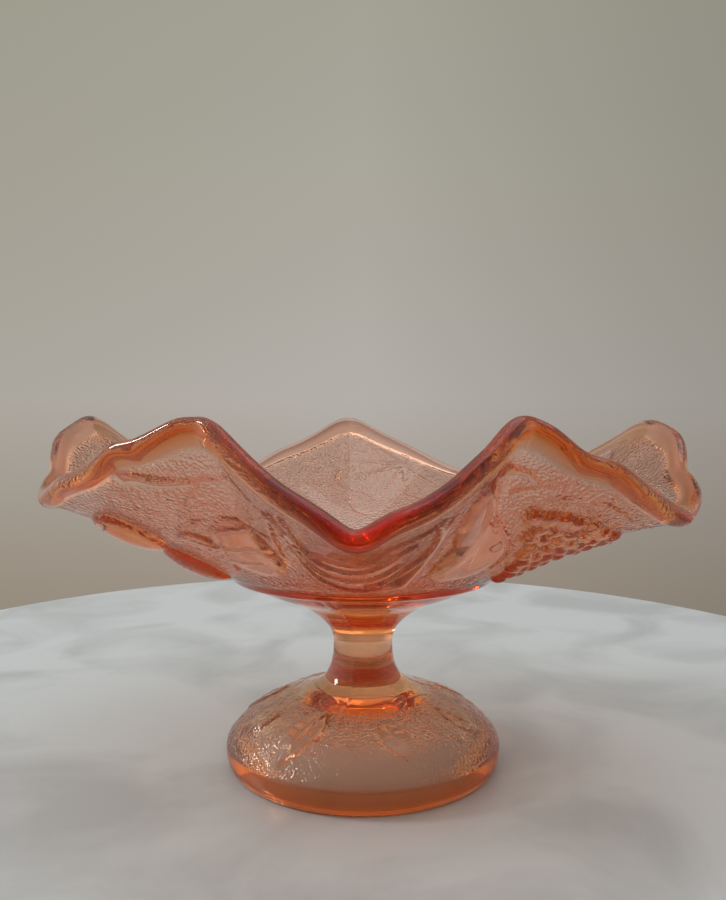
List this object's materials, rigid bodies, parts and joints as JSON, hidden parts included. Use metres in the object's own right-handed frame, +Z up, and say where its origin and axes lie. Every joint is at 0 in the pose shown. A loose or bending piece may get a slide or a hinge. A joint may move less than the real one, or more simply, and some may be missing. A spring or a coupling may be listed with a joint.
{
  "type": "footed glass candy dish",
  "caption": "Footed candy dish of pink pressed glass: a shallow bowl with a crimped rim and raised fruit outside, on a solid stem and a domed hollow foot.",
  "frame": {"origin": "centre of the dish's bounding box in plan, on the plane that the foot stands on; it lies on the axis of the foot and stem to within the rim's hand-made unevenness", "axes": "+Z up along the stem; +X and +Y across the bowl, with one dip of the rim facing -Y"},
  "size_m": [0.2351, 0.2268, 0.1297],
  "materials": {
    "pink_glass": "transparent pale pink soda glass, deeper orange where it is thick; fire-polished rim, stippled outside, smooth inside"
  },
  "bodies": {
    "root": {"bowl": "pink_glass", "stem": "pink_glass", "foot": "pink_glass"}
  },
  "joints": []
}
